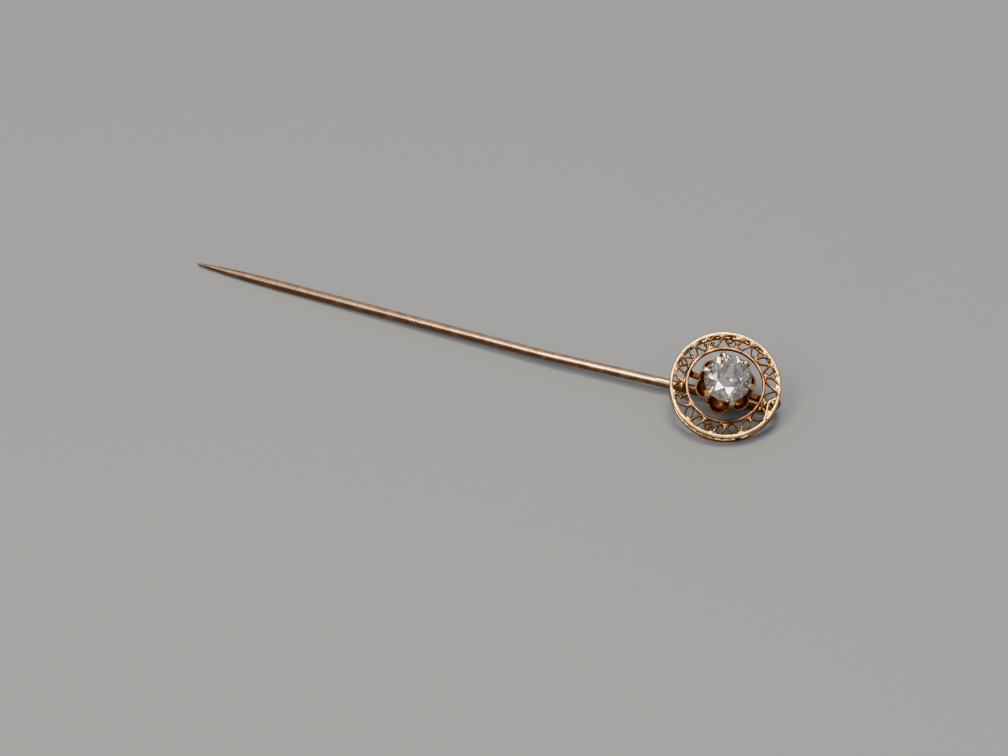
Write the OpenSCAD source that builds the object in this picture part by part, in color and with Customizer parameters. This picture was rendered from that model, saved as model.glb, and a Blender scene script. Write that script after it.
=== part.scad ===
/* [Disc] */
// Outside diameter of the disc
disc_d = 11.5; // [10:0.25:15]
// Width of the bright rim, across its face
rim_w = 0.4; // [0.3:0.05:0.7]
// Depth of the rim
rim_h = 0.55; // [0.45:0.05:0.9]
// Diameter of the round opening in the middle
opening_d = 7.6; // [7:0.1:8.2]
// Width of the ring round the opening
inner_ring_w = 0.3; // [0.2:0.05:0.5]
// Depth of the ring round the opening
inner_ring_h = 0.5; // [0.4:0.05:0.8]

/* [Pierced band] */
// Width of a scroll where it is thinnest
scroll_w = 0.15; // [0.1:0.01:0.2]
// Thickness of the pierced plate
plate_t = 0.3; // [0.2:0.05:0.4]
// How far the plate lies below the face of the rim
plate_set_back = 0.08; // [0:0.02:0.14]

/* [Gallery] */
// Depth of the whole head, from its face to the back of the rear ring
gallery_h = 1.6; // [1.4:0.1:2.4]
// Diameter of the rear ring's wire
rear_wire_d = 0.34; // [0.28:0.02:0.5]
// How far the rear ring stays inside the edge of the disc
rear_inset = 0.04; // [0:0.02:0.2]

/* [Bridge] */
// Width of the bar across the opening
bar_w = 0.6; // [0.4:0.05:0.8]
// Depth of the bar across the opening
bar_h = 0.45; // [0.35:0.05:0.6]

/* [Setting] */
// Number of claws
claws = 6; // [6:1:8]
// Width of a claw
claw_w = 0.75; // [0.5:0.05:0.85]
// Thickness of a claw
claw_t = 0.42; // [0.35:0.01:0.5]
// How far a claw reaches in over the edge of the stone
claw_reach = 0.42; // [0.3:0.02:0.6]
// Radius of one petal of the cup under the stone
petal_r = 1.2; // [1:0.05:1.25]
// Distance of a petal's centre from the axis of the setting
petal_offset = 1.95; // [1.7:0.05:2.1]
// Thickness of the cup's wall
cup_wall = 0.22; // [0.16:0.02:0.3]
// Angle that the setting leans by
lean = 7.5; // [0:0.5:9]

/* [Stone] */
// Diameter of the stone
stone_d = 4.9; // [4.2:0.1:5.2]
// Height of the stone's edge above the face of the disc
girdle_up = 3.6; // [3.2:0.1:4.2]
// Height of the crown, from the edge to the table
crown_h = 1.0; // [0.7:0.05:1.2]
// Depth of the stone below its edge
pavilion_h = 2.05; // [1.8:0.05:2.3]
// Thickness of the stone's edge
girdle_t = 0.1; // [0.05:0.01:0.16]
// Width of the table across its corners
table_d = 2.5; // [2:0.1:3]
// Width of the small flat at the bottom point
culet_d = 0.4; // [0.2:0.05:0.6]

/* [Stem] */
// Diameter of the stem
stem_d = 1.05; // [0.8:0.05:1.3]
// Length of the straight stem behind the point
shank_l = 30.3; // [20:0.1:40]
// Length of the sharpened point
point_l = 10.5; // [6:0.5:14]
// Diameter of the blunt end of the point
tip_d = 0.24; // [0.1:0.02:0.3]
// Radius of the neck's bend, on the middle of the stem
neck_bend_r = 1.7; // [1.2:0.1:2.2]
// Length of the straight neck above its bend
neck_l = 0.85; // [0.6:0.05:1.5]
// Length of the stem between its two slight bends
middle_l = 12.5; // [8:0.5:18]

/* [Hidden] */
$fn = 64;

// Clearances: metal to metal, stone to metal, and the sink of a soldered joint
seat_gap = 0.04;
stone_gap = 0.03;
solder_sink = 0.06;

// Radii of the disc
disc_r = disc_d / 2;
band_out = disc_r - rim_w;
opening_r = opening_d / 2;
band_in = opening_r + inner_ring_w;
edge_chamfer = 0.06;

// Gallery: the middle of the rear ring's wire, and its posts as [angle, width]
rear_wire_r = rear_wire_d / 2;
rear_r = disc_r - rear_inset - rear_wire_r;
rear_z = rear_wire_r - gallery_h;
POSTS = [[76, 0.5], [120, 0.5], [206, 0.34], [301, 0.34]];

// Bridge: the bar hangs from the back of the inner ring
bar_turn = -2.2;
bar_top = solder_sink - inner_ring_h;
bar_bottom = bar_top - bar_h;

// Pierced band: each pair of leaves as [angle at the rim, angle at the inner ring, has a curl],
// and the shares of the band's width where the leaves and the humps of metal end
SCROLLS = [
    [12, 30, 0], [43, 61, 0], [75, 92, 0], [110, 129, 1], [144, 157, 0], [176, 192, 1],
    [208, 228, 0], [244, 257, 0], [274, 287, 1], [305, 319, 0], [342, 353, 1]
];
leaf_sweep = 5;
leaf_foot = 0.06;
leaf_fork = 0.2;
leaf_top = 1.06;
hump_foot = -0.1;
hump_top = 1.12;
strip_swell = 0.5;
curl_share = 0.58;
curl_size = 0.21;

// Setting: turn of the claws, direction of the lean, top and middle height of the petals
claw_turn = -2;
lean_toward = -72;
petal_rim = 0.1;
petal_z = petal_rim - 0.1;
claw_tip_share = 0.45;

// Stone, from its profile
stone_sides = 16;
stone_r = stone_d / 2;
table_r = table_d / 2;
culet_r = culet_d / 2;
star_out = 0.1;
star_r = (table_r + stone_r) / 2 + star_out;
star_rise = crown_h * (stone_r - star_r * cos(360 / stone_sides)) / (stone_r - table_r);
lower_share = 0.42;
lower_r = stone_r * lower_share;

// Stem: slope away from the disc and sideways swing of each length, in degrees
stem_r = stem_d / 2;
tip_r = tip_d / 2;
UNDER_DIR = [4, -3.3];
MIDDLE_DIR = [10.3, -1.6];
SHANK_DIR = [12.2, 0.8];
knee_past_rim = 1.2;
point_bulge = 2.3;
ball_over = 0.01;
joint_gap = 0.01;
corner_gap = 0.04;

// The neck: how far it stands inside the rear ring and above it, and its solder
neck_in = 0.1;
neck_over = 0.1;
neck_turn = 3.2;
neck_x = (rear_r - neck_in) * cos(neck_turn);
neck_y = (rear_r - neck_in) * sin(neck_turn);
neck_top = rear_z + rear_wire_r + neck_over;
neck_foot = neck_top - neck_l;
solder_spread = 0.35;
solder_over = 0.05;

function unit(v) = v / norm(v);
function heading(slope_swing) = unit([
    -cos(slope_swing[0]) * cos(slope_swing[1]),
    sin(slope_swing[1]),
    -sin(slope_swing[0]) * cos(slope_swing[1])
]);

// Corners of the stem: the neck's top, the sharp corner of its bend, two slight bends and the tip
under_dir = heading(UNDER_DIR);
middle_dir = heading(MIDDLE_DIR);
shank_dir = heading(SHANK_DIR);
neck_dir = [0, 0, -1];
function turn_between(u, v) = acos(u * v);
function setback(u, v, r) = r * tan(turn_between(u, v) / 2);
neck_set = setback(neck_dir, under_dir, neck_bend_r);
P_NECK = [neck_x, neck_y, neck_top];
P_BEND = [neck_x, neck_y, neck_foot - neck_set];
P_KNEE = P_BEND + under_dir * ((neck_x + disc_r + knee_past_rim) / -under_dir[0]);
P_ELBOW = P_KNEE + middle_dir * middle_l;
P_TIP = P_ELBOW + shank_dir * (shank_l + point_l);
bend_half = turn_between(neck_dir, under_dir) / 2;
bend_mid = P_BEND + unit(under_dir - neck_dir) * neck_bend_r / cos(bend_half);

// The pose at rest: the plane that touches the flank of the point, the neck's bend and the
// rear ring. A share of the flank is 0 at the shank and 1 at the tip, and the flank touches
// where its taper runs level with the ground
bend_normal = unit(cross(neck_dir, under_dir));
function in_bend_plane(up) = unit(up - bend_normal * (up * bend_normal));
function flank_slope(up) = max(0, -(shank_dir * up)) * point_l / (point_bulge * (stem_r - tip_r));
function flank_share(up) = min(1, pow(flank_slope(up), 1 / (point_bulge - 1)));
function flank_r(share) = stem_r - (stem_r - tip_r) * pow(share, point_bulge);
function flank_touch(up) =
    let (share = flank_share(up))
        P_TIP - shank_dir * point_l * (1 - share) - up * flank_r(share);
function bend_touch(up) = bend_mid - in_bend_plane(up) * neck_bend_r - up * stem_r;
function ring_touch(up) = [0, 0, rear_z] - unit([up[0], up[1], 0]) * rear_r - up * rear_wire_r;
function plane_up(up) =
    let (flank = flank_touch(up))
        unit(cross(bend_touch(up) - flank, ring_touch(up) - flank));
function upward(v) = v[2] < 0 ? -v : v;
function settled(up, turns) = turns == 0 ? up : settled(upward(plane_up(up)), turns - 1);
UP = settled(unit([-0.16, 0.49, 0.85]), 12);

// The axes of the pose: along runs from the point to the head, level with the ground
along_raw = -P_TIP + UP * (UP * P_TIP);
ALONG = unit(along_raw);
ACROSS = cross(UP, ALONG);
ground = UP * flank_touch(UP);
disc_reach = disc_r * sqrt(1 - ALONG[2] * ALONG[2]);
bend_side = norm(ALONG - bend_normal * (ALONG * bend_normal));
bend_reach = bend_mid * ALONG + bend_side * neck_bend_r + stem_r;
far_end = max(disc_reach, bend_reach);
near_end = P_TIP * ALONG - tip_r;
mid_along = (far_end + near_end) / 2;

module at_rest() {
    multmatrix([
        [ALONG[0], ALONG[1], ALONG[2], -mid_along],
        [ACROSS[0], ACROSS[1], ACROSS[2], 0],
        [UP[0], UP[1], UP[2], -ground],
        [0, 0, 0, 1]
    ])
        children();
}

// The setting's own frame: it leans about its foot on the bar
module leaning() {
    translate([0, 0, bar_top])
        rotate([0, 0, lean_toward])
            rotate([0, lean, 0])
                rotate([0, 0, -lean_toward])
                    translate([0, 0, -bar_top])
                        children();
}

// A ring turned about the axis of the disc, with its face at z = 0 and its front edges taken off
module turned_ring(inner, outer, depth) {
    rotate_extrude()
        polygon([
            [inner, -depth],
            [outer, -depth],
            [outer, -edge_chamfer],
            [outer - edge_chamfer, 0],
            [inner + edge_chamfer, 0],
            [inner, -edge_chamfer]
        ]);
}

// A point of the pierced band: share is 0 at the inner ring and 1 at the rim
function band_point(angle, share) =
    let (r = band_in + share * (band_out - band_in)) [r * cos(angle), r * sin(angle)];

// The middle line of a scroll from one [angle, share] to another, bowed towards the rim
function scroll_line(from, to, bow, steps = 8) = [
    for (i = [0:steps])
        let (s = i / steps, at = from + (to - from) * s)
            band_point(at[0], at[1] + bow * 4 * s * (1 - s))
];

// One edge of a strip along a line: side is 1 or -1, and both ends are half as wide again
function strip_edge(line, width, side) = [
    for (i = [0:len(line) - 1])
        let (
            last = len(line) - 1,
            step = unit(line[min(i + 1, last)] - line[max(i - 1, 0)]),
            swell = 1 + strip_swell * pow(2 * i / last - 1, 2)
        )
            line[i] + side * width / 2 * swell * [-step[1], step[0]]
];

function reversed(list) = [for (i = [len(list) - 1:-1:0]) list[i]];

module strip(line, width) {
    polygon(concat(strip_edge(line, width, 1), reversed(strip_edge(line, width, -1))));
}

// A low hump of metal, from its root in the inner ring or the rim to its peak
module hump(from, to, root, base, peak) {
    steps = 6;
    polygon(concat(
        [
            for (i = [0:steps])
                let (s = i / steps)
                    band_point(from + (to - from) * s, base + (peak - base) * sin(180 * s))
        ],
        [for (i = [steps:-1:0]) band_point(from + (to - from) * i / steps, root)]
    ));
}

// A curl that hangs from the rim by a short tail, open towards the next leaf
module curl(angle) {
    band_w = band_out - band_in;
    tail = [(leaf_top - curl_share) * band_w, 0];
    translate(band_point(angle, curl_share))
        rotate([0, 0, angle])
            strip(concat([tail], [for (t = [10:25:310]) curl_size * band_w * [cos(t), sin(t)]]), scroll_w);
}

// Two leaves that meet on the inner ring, between one point of the rim and the next
module leaf_pair(rim_angle, ring_angle, next_angle, has_curl) {
    from_rim = [rim_angle + leaf_sweep, leaf_top];
    to_rim = [next_angle - leaf_sweep, leaf_top];
    fork = [ring_angle + 1, leaf_fork];
    strip(scroll_line([rim_angle - 1, leaf_top], [ring_angle - 2, leaf_foot], -0.36), scroll_w);
    strip(scroll_line(from_rim, fork, 0.24), scroll_w);
    strip(scroll_line(fork, to_rim, 0.16), scroll_w);
    strip(scroll_line([ring_angle + 4, leaf_foot], [next_angle + 1, leaf_top], -0.38), scroll_w);
    hump(ring_angle - 5, ring_angle + 7, hump_foot, 0, 0.3);
    hump(rim_angle - 6, rim_angle + 7, hump_top, 1, 0.8);
    if (has_curl)
        curl(rim_angle - 8);
}

module pierced_plate() {
    last = len(SCROLLS) - 1;
    color("peru")
        translate([0, 0, -plate_set_back - plate_t])
            linear_extrude(height = plate_t)
                for (i = [0:last])
                    leaf_pair(
                        SCROLLS[i][0],
                        SCROLLS[i][1],
                        i < last ? SCROLLS[i + 1][0] : SCROLLS[0][0] + 360,
                        SCROLLS[i][2] == 1
                    );
}

module front_rings() {
    color("gold") {
        turned_ring(band_out, disc_r, rim_h);
        turned_ring(opening_r, band_in, inner_ring_h);
    }
}

// The rear ring on its posts, which stand on the back of the rim
module gallery() {
    color("goldenrod") {
        translate([0, 0, rear_z])
            rotate_extrude()
                translate([rear_r, 0])
                    circle(r = rear_wire_r);
        for (post = POSTS)
            rotate([0, 0, post[0]])
                translate([rear_r - rear_wire_r / 2, -post[1] / 2, rear_z])
                    cube([rear_wire_r, post[1], -rear_z - rim_h + solder_sink]);
    }
}

module bridge_bar() {
    span = opening_r + inner_ring_w / 2;
    color("goldenrod")
        rotate([0, 0, bar_turn])
            translate([-span, -bar_w / 2, bar_bottom])
                cube([2 * span, bar_w, bar_h]);
}

// A straight length of the stem, short of its joints by a gap at each end
module rod(from, to, gap_from, gap_to) {
    d = unit(to - from);
    translate(from + d * gap_from)
        rotate([0, acos(d[2]), atan2(d[1], d[0])])
            cylinder(h = norm(to - from) - gap_from - gap_to, r = stem_r);
}

// A ball, a little thicker than the stem, joins two lengths at a corner
module joint_ball(at) {
    translate(at)
        sphere(r = stem_r + ball_over);
}

// The round bend of the neck, from direction u to direction v
module neck_bend(corner, u, v, radius) {
    inward = unit(v - u * (u * v));
    middle = corner - u * setback(u, v, radius) + inward * radius;
    side = cross(-inward, u);
    multmatrix([
        [-inward[0], u[0], side[0], middle[0]],
        [-inward[1], u[1], side[1], middle[1]],
        [-inward[2], u[2], side[2], middle[2]],
        [0, 0, 0, 1]
    ])
        rotate_extrude(angle = turn_between(u, v))
            translate([radius, 0])
                circle(r = stem_r);
}

// The straight shank and its point, turned in one: the taper closes in a curve on a blunt tip
module shank_and_point(gap) {
    steps = 8;
    d = -shank_dir;
    translate(P_TIP)
        rotate([0, acos(d[2]), atan2(d[1], d[0])])
            rotate_extrude()
                polygon(concat(
                    [[0, -tip_r], [tip_r * 0.7, -tip_r * 0.7]],
                    [
                        for (i = [0:steps])
                            let (s = i / steps)
                                [flank_r(1 - s), point_l * s]
                    ],
                    [[stem_r, point_l + shank_l - gap], [0, point_l + shank_l - gap]]
                ));
}

module stem() {
    bend_in = P_BEND - neck_dir * neck_set;
    bend_out = P_BEND + under_dir * neck_set;
    color("darkgoldenrod") {
        rod(P_NECK, bend_in, 0, joint_gap);
        joint_ball(bend_in);
        neck_bend(P_BEND, neck_dir, under_dir, neck_bend_r);
        joint_ball(bend_out);
        rod(bend_out, P_KNEE, joint_gap, corner_gap);
        joint_ball(P_KNEE);
        rod(P_KNEE, P_ELBOW, corner_gap, corner_gap);
        joint_ball(P_ELBOW);
        shank_and_point(corner_gap);
    }
}

// Solder that joins the neck to the rear ring
module solder_seat() {
    pad_h = rear_wire_d + 2 * solder_over;
    color("goldenrod")
        translate([neck_x, neck_y, rear_z - pad_h / 2])
            intersection() {
                cylinder(h = pad_h, r = stem_r + solder_spread);
                translate([-neck_x, -neck_y, 0])
                    cylinder(h = pad_h, r = rear_r + rear_wire_r + solder_over);
            }
}

// The pin: pierced disc, gallery, bridge and stem, soldered into one
module pin_and_disc() {
    at_rest() {
        front_rings();
        pierced_plate();
        gallery();
        bridge_bar();
        stem();
        solder_seat();
    }
}

// One ball in the place of each petal, between two claws
module petal_balls(radius) {
    for (k = [0:claws - 1])
        rotate([0, 0, claw_turn + (k + 0.5) * 360 / claws])
            translate([petal_offset, 0, petal_z])
                sphere(r = radius);
}

// The cup of petals, closed below and open above
module petal_cup() {
    difference() {
        union() {
            petal_balls(petal_r);
            translate([0, 0, petal_z - petal_r * 0.7])
                cylinder(h = petal_r * 0.5, r = petal_offset);
        }
        petal_balls(petal_r - cup_wall);
        translate([-stone_d, -stone_d, petal_rim])
            cube([2 * stone_d, 2 * stone_d, petal_r * 2]);
    }
}

// The side view of a claw: it bows out, rises past the stone and folds over its edge
module claw_side() {
    foot = petal_offset + petal_r / 4;
    foot_z = petal_z - petal_r * 0.6;
    crown_slope = star_rise / (stone_r - star_r);
    tip_z = girdle_up + claw_reach * crown_slope;
    polygon([
        [foot, foot_z],
        [foot + claw_t * 0.8, foot_z],
        [stone_r + claw_t * 0.75, petal_rim + petal_r / 2],
        [stone_r + claw_t, girdle_up * 0.5],
        [stone_r + claw_t, girdle_up],
        [stone_r + claw_t * 0.6, girdle_up + claw_t * 0.8],
        [stone_r - claw_reach * 0.5, tip_z + claw_t * 0.75],
        [stone_r - claw_reach, tip_z + claw_t * 0.45],
        [stone_r - claw_reach, tip_z - claw_t],
        [stone_r - claw_t * 0.2, girdle_up - claw_t],
        [stone_r - claw_t * 0.3, girdle_up * 0.45]
    ]);
}

// One claw on the axis X: full width below the stone, and narrowing to its tip above
module claw() {
    outside = stone_r + claw_t + 0.1;
    inside = stone_r - claw_reach - 0.1;
    shoulder = girdle_up - claw_t;
    half_w = claw_w / 2 + 0.02;
    half_tip = claw_w * claw_tip_share / 2;
    intersection() {
        translate([0, claw_w / 2, 0])
            rotate([90, 0, 0])
                linear_extrude(height = claw_w)
                    claw_side();
        union() {
            translate([0, -claw_w, -petal_r])
                cube([2 * outside, 2 * claw_w, shoulder + petal_r]);
            translate([0, 0, shoulder])
                linear_extrude(height = 2 * crown_h + claw_t)
                    polygon([
                        [outside, half_w],
                        [inside, half_tip],
                        [inside, -half_tip],
                        [outside, -half_w]
                    ]);
        }
    }
}

// The space of the stone, turned round, with its clearance all round
module stone_space() {
    g = stone_gap / cos(180 / stone_sides);
    half = girdle_t / 2;
    translate([0, 0, girdle_up])
        rotate_extrude()
            polygon([
                [0, crown_h + half + stone_gap * 3],
                [table_r, crown_h + half + stone_gap * 2],
                [star_r, star_rise + half + stone_gap * 2],
                [stone_r + g, half + stone_gap],
                [stone_r + g, -half - stone_gap],
                [0, -pavilion_h - half - stone_gap * 2]
            ]);
}

module claw_setting() {
    color("khaki")
        at_rest()
            difference() {
                leaning() {
                    petal_cup();
                    difference() {
                        for (k = [0:claws - 1])
                            rotate([0, 0, claw_turn + k * 360 / claws])
                                claw();
                        stone_space();
                    }
                }
                rotate([0, 0, bar_turn])
                    translate([-disc_r, -bar_w / 2 - seat_gap, bar_bottom - disc_r])
                        cube([disc_d, bar_w + 2 * seat_gap, bar_h + disc_r + seat_gap]);
            }
}

// The cut stone: a point at each corner of its facets
module diamond() {
    half = girdle_t / 2;
    n = stone_sides / 2;
    a = 180 / n;
    slope_down = pavilion_h / (stone_r - culet_r);
    lower_z = -half - pavilion_h + (lower_r * cos(a) - culet_r) * slope_down;
    ring = function (r, z, count, turn) [
        for (i = [0:count - 1]) let (t = turn + i * 360 / count) [r * cos(t), r * sin(t), z]
    ];
    points = concat(
        ring(table_r, half + crown_h, n, 0),
        ring(star_r, half + star_rise, n, a),
        ring(stone_r, half, 2 * n, 0),
        ring(stone_r, -half, 2 * n, 0),
        ring(lower_r, lower_z, n, a),
        ring(culet_r, -half - pavilion_h, n, 0)
    );
    star = n;
    top = 2 * n;
    bottom = 4 * n;
    lower = 6 * n;
    culet = 7 * n;
    facets = concat(
        [[for (i = [n - 1:-1:0]) i]],
        [for (i = [0:n - 1]) [i, (i + 1) % n, star + i]],
        [for (i = [0:n - 1]) [i, star + i, top + 2 * i, star + (i + n - 1) % n]],
        [for (i = [0:n - 1]) [star + i, top + 2 * i + 1, top + 2 * i]],
        [for (i = [0:n - 1]) [star + i, top + (2 * i + 2) % (2 * n), top + 2 * i + 1]],
        [
            for (i = [0:2 * n - 1])
                let (next = (i + 1) % (2 * n))
                    [top + i, top + next, bottom + next, bottom + i]
        ],
        [for (i = [0:n - 1]) [bottom + 2 * i, bottom + 2 * i + 1, lower + i]],
        [for (i = [0:n - 1]) [bottom + 2 * i + 1, bottom + (2 * i + 2) % (2 * n), lower + i]],
        [for (i = [0:n - 1]) [bottom + 2 * i, lower + i, culet + i, lower + (i + n - 1) % n]],
        [for (i = [0:n - 1]) [lower + i, culet + (i + 1) % n, culet + i]],
        [[for (i = [0:n - 1]) culet + i]]
    );
    color("white", 0.5)
        at_rest()
            leaning()
                translate([0, 0, girdle_up])
                    rotate([0, 0, claw_turn])
                        polyhedron(points = points, faces = facets);
}

pin_and_disc();
claw_setting();
diamond();
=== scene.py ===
"""A gold stick pin: a pierced scroll disc, a claw-set diamond and a long bent stem.

Every new piece is modelled in millimetres in the frame of the head, whose origin is the middle
of the disc's face, with X towards the neck of the stem and Z out of the face. Each piece is then
laid down as the pin rests on its floor, in metres.
"""

import logging
import math
from abc import ABC, abstractmethod
from collections.abc import Callable, Iterator, Sequence
from contextlib import contextmanager
from dataclasses import dataclass, field, replace
from enum import Enum

import bmesh
import bpy
from mathutils import Euler, Matrix, Vector


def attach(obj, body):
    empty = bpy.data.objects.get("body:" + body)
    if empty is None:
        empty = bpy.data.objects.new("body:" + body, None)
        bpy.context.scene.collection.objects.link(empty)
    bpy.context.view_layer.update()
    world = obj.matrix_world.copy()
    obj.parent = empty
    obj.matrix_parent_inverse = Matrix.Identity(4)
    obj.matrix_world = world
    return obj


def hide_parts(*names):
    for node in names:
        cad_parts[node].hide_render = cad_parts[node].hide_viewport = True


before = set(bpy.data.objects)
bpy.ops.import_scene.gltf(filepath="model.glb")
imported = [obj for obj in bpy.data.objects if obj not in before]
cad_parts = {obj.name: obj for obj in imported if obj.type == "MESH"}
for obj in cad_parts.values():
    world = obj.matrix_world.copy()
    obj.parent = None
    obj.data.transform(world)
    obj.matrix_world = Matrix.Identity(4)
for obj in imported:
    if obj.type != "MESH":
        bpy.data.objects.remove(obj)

LOG = logging.getLogger("stick pin")
MM = 0.001
BODY = "root"


class LitSide(Enum):
    """Which side of a piece stays lit while the rest is painted with shade."""

    FRONT = "front"
    TOP = "top"


class Slot(Enum):
    """The record's material slots."""

    ROSE_GOLD = "rose_gold"
    YELLOW_GOLD = "yellow_gold"
    DIAMOND = "diamond"


# Blender's tools, used as by hand


def take(*objects: bpy.types.Object) -> None:
    """Selects these objects alone, and makes the first of them active."""
    bpy.ops.object.select_all(action="DESELECT")
    for each in objects:
        each.select_set(True)
    bpy.context.view_layer.objects.active = objects[0]


@contextmanager
def editing(piece: bpy.types.Object) -> Iterator[None]:
    """Keeps a piece in edit mode, with nothing selected at first.

    Args:
        piece: The mesh object to edit.
    """
    take(piece)
    bpy.ops.object.mode_set(mode="EDIT")
    bpy.ops.mesh.select_all(action="DESELECT")
    try:
        yield
    finally:
        bpy.ops.object.mode_set(mode="OBJECT")


def pick_corners(piece: bpy.types.Object, test: Callable[[Vector], bool]) -> None:
    """In edit mode, selects the corners that pass a test."""
    bpy.ops.mesh.select_mode(type="VERT")
    shape = bmesh.from_edit_mesh(piece.data)
    for corner in shape.verts:
        corner.select_set(test(corner.co))
    shape.select_flush_mode()
    bmesh.update_edit_mesh(piece.data)


def resize(
    piece: bpy.types.Object, scale: tuple[float, float, float], about: tuple[float, float, float]
) -> None:
    """Widens or flattens a whole piece."""
    with editing(piece):
        bpy.ops.mesh.select_all(action="SELECT")
        bpy.ops.transform.resize(value=scale, center_override=about)


def shade_soft(piece: bpy.types.Object, sharpest: float) -> None:
    """Shades a piece smoothly."""
    take(piece)
    bpy.ops.object.shade_smooth_by_angle(angle=math.radians(sharpest))


def apply_modifiers(piece: bpy.types.Object) -> None:
    """Applies every modifier of a piece, in order."""
    take(piece)
    for name in [modifier.name for modifier in piece.modifiers]:
        bpy.ops.object.modifier_apply(modifier=name)


def join(name: str, parts: Sequence[bpy.types.Object]) -> bpy.types.Object:
    """Joins parts into one object.

    Args:
        name: The name of the joined object.
        parts: The objects to join.

    Returns:
        The joined object.
    """
    take(*parts)
    if len(parts) > 1:
        bpy.ops.object.join()
    joined = bpy.context.object
    joined.name = name
    bpy.ops.object.transform_apply(location=True, rotation=True, scale=True)
    return joined


def fuse(
    name: str, parts: Sequence[bpy.types.Object], grain: float, soften: int
) -> bpy.types.Object:
    """Melts parts that overlap into one closed skin, as solder does.

    Args:
        name: The name of the fused piece.
        parts: The closed meshes to melt together.
        grain: The size of the skin's faces.
        soften: How many times the skin is smoothed.

    Returns:
        The fused piece.
    """
    fused = join(name, parts)
    skin = fused.modifiers.new("skin", "REMESH")
    skin.mode = "VOXEL"
    skin.voxel_size = grain
    soft = fused.modifiers.new("soft", "SMOOTH")
    soft.factor = 0.5
    soft.iterations = soften
    apply_modifiers(fused)
    return fused


def carve(piece: bpy.types.Object, cutter: bpy.types.Object) -> None:
    """Cuts a cutter's shape out of a piece and removes the cutter."""
    cut = piece.modifiers.new("cut", "BOOLEAN")
    cut.operation = "DIFFERENCE"
    cut.solver = "EXACT"
    cut.object = cutter
    apply_modifiers(piece)
    bpy.data.objects.remove(cutter)


def slice_off(piece: bpy.types.Object, at: Vector, outwards: Vector) -> None:
    """Saws a piece along a plane, drops the outer side and fills the cut."""
    with editing(piece):
        bpy.ops.mesh.select_all(action="SELECT")
        bpy.ops.mesh.bisect(plane_co=at, plane_no=outwards, clear_outer=True, use_fill=True)


def roughen(piece: bpy.types.Object, depth: float, spread: float) -> None:
    """Leaves the slight unevenness of hand work on a piece.

    Args:
        piece: The piece, with faces smaller than the waves.
        depth: How far the surface wanders.
        spread: How far apart the waves are.
    """
    waves = bpy.data.textures.new(piece.name + "_waves", "CLOUDS")
    waves.noise_scale = spread
    waves.noise_depth = 1
    uneven = piece.modifiers.new("uneven", "DISPLACE")
    uneven.texture = waves
    uneven.texture_coords = "LOCAL"
    uneven.strength = depth
    uneven.mid_level = 0.5
    apply_modifiers(piece)


def turn(piece: bpy.types.Object, degrees: float) -> None:
    """Turns a piece about the axis Z by an angle in degrees."""
    piece.matrix_world = Matrix.Rotation(math.radians(degrees), 4, "Z") @ piece.matrix_world
    take(piece)
    bpy.ops.object.transform_apply(location=True, rotation=True, scale=True)


def copies_around(
    piece: bpy.types.Object, count: int, first: float = 0.0
) -> list[bpy.types.Object]:
    """Sets copies of a piece evenly round the axis Z, each with its own mesh.

    Args:
        piece: The piece at angle zero, which becomes the first of the copies.
        count: How many there are in all.
        first: The angle of the first, in degrees.

    Returns:
        The piece and its copies.
    """
    made = [piece]
    for _ in range(count - 1):
        take(piece)
        bpy.ops.object.duplicate(linked=False)
        made.append(bpy.context.object)
    for number, each in enumerate(made):
        turn(each, first + number * 360 / count)
    return made


def wire(
    name: str, line: Sequence[Vector], radii: Sequence[float], sides: int
) -> bpy.types.Object:
    """Draws a round wire along a line and makes it a closed mesh.

    Args:
        name: The name of the wire.
        line: The points along its middle.
        radii: Its radius at each point.
        sides: How many sides it has.

    Returns:
        The wire.
    """
    bpy.ops.object.select_all(action="DESELECT")
    bpy.ops.curve.primitive_bezier_curve_add()
    drawn = bpy.context.object
    drawn.name = name
    curve = drawn.data
    curve.splines.clear()
    spline = curve.splines.new("POLY")
    spline.points.add(len(line) - 1)
    for knot, at, radius in zip(spline.points, line, radii, strict=True):
        knot.co = (*at, 1.0)
        knot.radius = radius
    curve.bevel_depth = 1.0
    curve.bevel_resolution = max(0, (sides - 4) // 2)
    curve.use_fill_caps = True
    take(drawn)
    bpy.ops.object.convert(target="MESH")
    made = bpy.context.object
    with editing(made):
        bpy.ops.mesh.select_all(action="SELECT")
        bpy.ops.mesh.remove_doubles(threshold=1e-5)
        bpy.ops.mesh.normals_make_consistent(inside=False)
    return made


def smooth_line(points: Sequence[Vector], steps: int) -> list[Vector]:
    """A smooth line through points.

    Args:
        points: The points.
        steps: How many lengths are drawn between two of them.

    Returns:
        The smooth line.
    """
    ends = [2 * points[0] - points[1], *points, 2 * points[-1] - points[-2]]
    line = []
    for a, b, c, d in zip(ends, ends[1:], ends[2:], ends[3:]):
        for i in range(steps):
            t = i / steps
            square = (2 * a - 5 * b + 4 * c - d) * t**2
            line.append(0.5 * (2 * b + (c - a) * t + square + (3 * b - a - 3 * c + d) * t**3))
    return [*line, points[-1]]


def between(values: Sequence[float], steps: int) -> list[float]:
    """Numbers between numbers."""
    longer = [a + (b - a) * i / steps for a, b in zip(values, values[1:]) for i in range(steps)]
    return [*longer, values[-1]]


def ball(name: str, at: Vector, radius: float, squash: float = 1.0) -> bpy.types.Object:
    """Adds a ball, flattened along Z where asked.

    Args:
        name: The name of the ball.
        at: Its middle.
        radius: Its radius.
        squash: Its height as a share of its width.

    Returns:
        The ball.
    """
    bpy.ops.object.select_all(action="DESELECT")
    bpy.ops.mesh.primitive_uv_sphere_add(segments=48, ring_count=24, radius=radius, location=at)
    made = bpy.context.object
    made.name = name
    made.scale = (1, 1, squash)
    bpy.ops.object.transform_apply(location=True, rotation=True, scale=True)
    return made


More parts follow.
